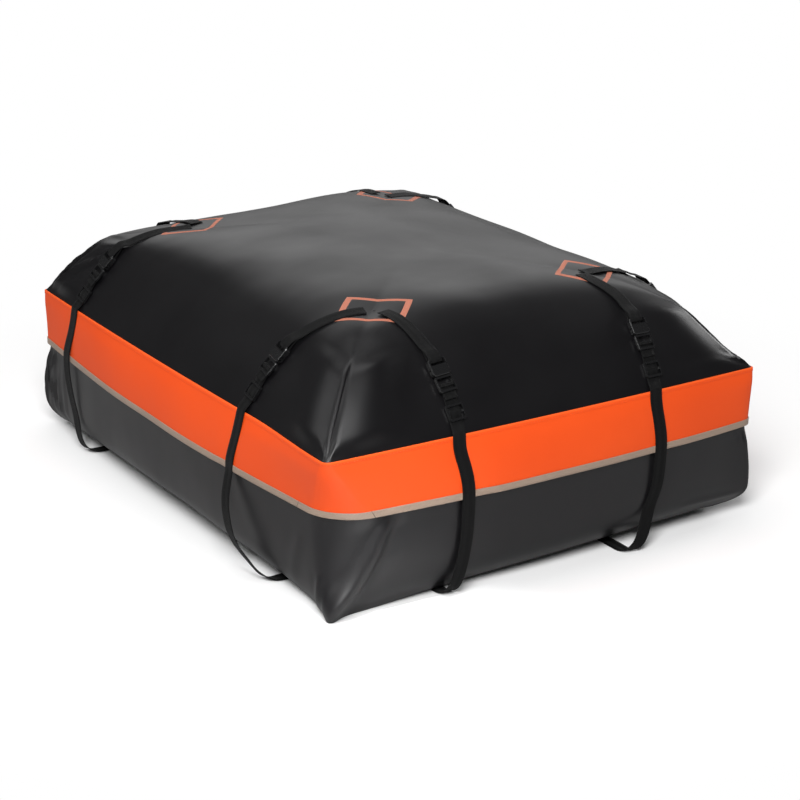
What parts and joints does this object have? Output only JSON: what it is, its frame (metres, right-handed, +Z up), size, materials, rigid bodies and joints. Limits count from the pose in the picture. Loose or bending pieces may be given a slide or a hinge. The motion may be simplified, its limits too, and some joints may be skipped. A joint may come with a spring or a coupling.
{
  "type": "roof cargo bag",
  "caption": "Soft car roof cargo bag: black tarpaulin tub and domed lid, orange storm flap over a zip, webbing lashings with side-release buckles.",
  "frame": {"origin": "middle of the underside, on the surface that the bag rests on", "axes": "+Z up; Y along the long side with the front short side at -Y; X across, with the long side that the picture shows at -X"},
  "size_m": [0.9386, 1.1705, 0.4473],
  "materials": {
    "tub_tarpaulin": "semi-gloss coated tarpaulin",
    "lid_tarpaulin": "semi-gloss coated tarpaulin",
    "orange_flap": "satin coated tarpaulin",
    "reflective_tape": "glass-bead reflective tape",
    "patch_border": "woven binding",
    "webbing": "woven polyester",
    "buckle_plastic": "moulded acetal",
    "zip_fabric": "woven tape and moulded coil",
    "zip_metal": "black painted zinc"
  },
  "bodies": {
    "bag": {"tub": "tub_tarpaulin", "lid": "lid_tarpaulin", "flap_band": "orange_flap", "reflective_tape": "reflective_tape", "zip_tape": "zip_fabric", "zip_coil": "zip_fabric", "patch_border_front_left": "patch_border", "patch_pad_front_left": "lid_tarpaulin", "patch_border_front_right": "patch_border", "patch_pad_front_right": "lid_tarpaulin", "patch_border_back_left": "patch_border", "patch_pad_back_left": "lid_tarpaulin", "patch_border_back_right": "patch_border", "patch_pad_back_right": "lid_tarpaulin", "buckle_housing_front_left": "buckle_plastic", "strap_upper_front_left": "webbing", "strap_lower_front_left": "webbing", "buckle_housing_front_right": "buckle_plastic", "strap_upper_front_right": "webbing", "strap_lower_front_right": "webbing", "buckle_housing_left_front": "buckle_plastic", "strap_upper_left_front": "webbing", "strap_lower_left_front": "webbing", "buckle_housing_left_back": "buckle_plastic", "strap_upper_left_back": "webbing", "strap_lower_left_back": "webbing", "buckle_housing_right_front": "buckle_plastic", "strap_upper_right_front": "webbing", "strap_lower_right_front": "webbing", "buckle_housing_right_back": "buckle_plastic", "strap_upper_right_back": "webbing", "strap_lower_right_back": "webbing", "buckle_housing_back_left": "buckle_plastic", "strap_upper_back_left": "webbing", "strap_lower_back_left": "webbing", "buckle_housing_back_right": "buckle_plastic", "strap_upper_back_right": "webbing", "strap_lower_back_right": "webbing"},
    "plug_front_left": {"buckle_plug_front_left": "buckle_plastic"},
    "glide_front_left": {"tri_glide_front_left": "buckle_plastic"},
    "plug_front_right": {"buckle_plug_front_right": "buckle_plastic"},
    "glide_front_right": {"tri_glide_front_right": "buckle_plastic"},
    "plug_left_front": {"buckle_plug_left_front": "buckle_plastic"},
    "glide_left_front": {"tri_glide_left_front": "buckle_plastic"},
    "plug_left_back": {"buckle_plug_left_back": "buckle_plastic"},
    "glide_left_back": {"tri_glide_left_back": "buckle_plastic"},
    "plug_right_front": {"buckle_plug_right_front": "buckle_plastic"},
    "glide_right_front": {"tri_glide_right_front": "buckle_plastic"},
    "plug_right_back": {"buckle_plug_right_back": "buckle_plastic"},
    "glide_right_back": {"tri_glide_right_back": "buckle_plastic"},
    "plug_back_left": {"buckle_plug_back_left": "buckle_plastic"},
    "glide_back_left": {"tri_glide_back_left": "buckle_plastic"},
    "plug_back_right": {"buckle_plug_back_right": "buckle_plastic"},
    "glide_back_right": {"tri_glide_back_right": "buckle_plastic"},
    "slider_left": {"zip_slider_left": "zip_metal"},
    "pull_left": {"zip_pull_left": "zip_metal"},
    "slider_right": {"zip_slider_right": "zip_metal"},
    "pull_right": {"zip_pull_right": "zip_metal"}
  },
  "joints": [
    {"name": "plug_release_front_left", "type": "slide", "parent": "bag", "child": "plug_front_left", "axis": [0.0759, -0.6537, -0.7529], "range_m": [0, 0.03], "deforming": ["buckle_plug_front_left", "strap_lower_front_left"]},
    {"name": "glide_slide_front_left", "type": "slide", "parent": "plug_front_left", "child": "glide_front_left", "axis": [0.061, -0.5252, -0.8488], "range_m": [-0.004, 0.006], "deforming": ["strap_lower_front_left"]},
    {"name": "plug_release_front_right", "type": "slide", "parent": "bag", "child": "plug_front_right", "axis": [-0.0132, -0.6515, -0.7585], "range_m": [0, 0.03], "deforming": ["buckle_plug_front_right", "strap_lower_front_right"]},
    {"name": "glide_slide_front_right", "type": "slide", "parent": "plug_front_right", "child": "glide_front_right", "axis": [-0.0107, -0.5295, -0.8483], "range_m": [-0.004, 0.006], "deforming": ["strap_lower_front_right"]},
    {"name": "plug_release_left_front", "type": "slide", "parent": "bag", "child": "plug_left_front", "axis": [-0.6435, 0.182, -0.7435], "range_m": [0, 0.03], "deforming": ["buckle_plug_left_front", "strap_lower_left_front"]},
    {"name": "glide_slide_left_front", "type": "slide", "parent": "plug_left_front", "child": "glide_left_front", "axis": [-0.5272, 0.1491, -0.8366], "range_m": [-0.004, 0.006], "deforming": ["strap_lower_left_front"]},
    {"name": "plug_release_left_back", "type": "slide", "parent": "bag", "child": "plug_left_back", "axis": [-0.6328, 0.1822, -0.7526], "range_m": [0, 0.03], "deforming": ["buckle_plug_left_back", "strap_lower_left_back"]},
    {"name": "glide_slide_left_back", "type": "slide", "parent": "plug_left_back", "child": "glide_left_back", "axis": [-0.5447, 0.1568, -0.8238], "range_m": [-0.004, 0.006], "deforming": ["strap_lower_left_back"]},
    {"name": "plug_release_right_front", "type": "slide", "parent": "bag", "child": "plug_right_front", "axis": [0.6549, 0.0827, -0.7512], "range_m": [0, 0.03], "deforming": ["buckle_plug_right_front", "strap_lower_right_front"]},
    {"name": "glide_slide_right_front", "type": "slide", "parent": "plug_right_front", "child": "glide_right_front", "axis": [0.534, 0.0674, -0.8428], "range_m": [-0.004, 0.006], "deforming": ["strap_lower_right_front"]},
    {"name": "plug_release_right_back", "type": "slide", "parent": "bag", "child": "plug_right_back", "axis": [0.6465, 0.0653, -0.7601], "range_m": [0, 0.03], "deforming": ["buckle_plug_right_back", "strap_lower_right_back"]},
    {"name": "glide_slide_right_back", "type": "slide", "parent": "plug_right_back", "child": "glide_right_back", "axis": [0.5405, 0.0546, -0.8395], "range_m": [-0.004, 0.006], "deforming": ["strap_lower_right_back"]},
    {"name": "plug_release_back_left", "type": "slide", "parent": "bag", "child": "plug_back_left", "axis": [0.0462, 0.6529, -0.756], "range_m": [0, 0.03], "deforming": ["buckle_plug_back_left", "strap_lower_back_left"]},
    {"name": "glide_slide_back_left", "type": "slide", "parent": "plug_back_left", "child": "glide_back_left", "axis": [0.0373, 0.5272, -0.8489], "range_m": [-0.004, 0.006], "deforming": ["strap_lower_back_left"]},
    {"name": "plug_release_back_right", "type": "slide", "parent": "bag", "child": "plug_back_right", "axis": [-0.0462, 0.6537, -0.7553], "range_m": [0, 0.03], "deforming": ["buckle_plug_back_right", "strap_lower_back_right"]},
    {"name": "glide_slide_back_right", "type": "slide", "parent": "plug_back_right", "child": "glide_back_right", "axis": [-0.0372, 0.5266, -0.8493], "range_m": [-0.004, 0.006], "deforming": ["strap_lower_back_right"]},
    {"name": "zip_run_left", "type": "hinge", "parent": "bag", "child": "slider_left", "pos_m": [0, 4.07484, 0], "axis": [0, 0, -1], "range_deg": [0, 3]},
    {"name": "pull_swing_left", "type": "hinge", "parent": "slider_left", "child": "pull_left", "pos_m": [-0.0073, -0.55224, 0.22049], "axis": [0, 0.9883, -0.1525], "range_deg": [-5, 25]},
    {"name": "zip_run_right", "type": "hinge", "parent": "bag", "child": "slider_right", "pos_m": [0, 4.07484, 0], "axis": [0, 0, 1], "range_deg": [0, 3]},
    {"name": "pull_swing_right", "type": "hinge", "parent": "slider_right", "child": "pull_right", "pos_m": [0.0073, -0.55224, 0.22049], "axis": [0, -0.9883, 0.1525], "range_deg": [-5, 25]}
  ]
}
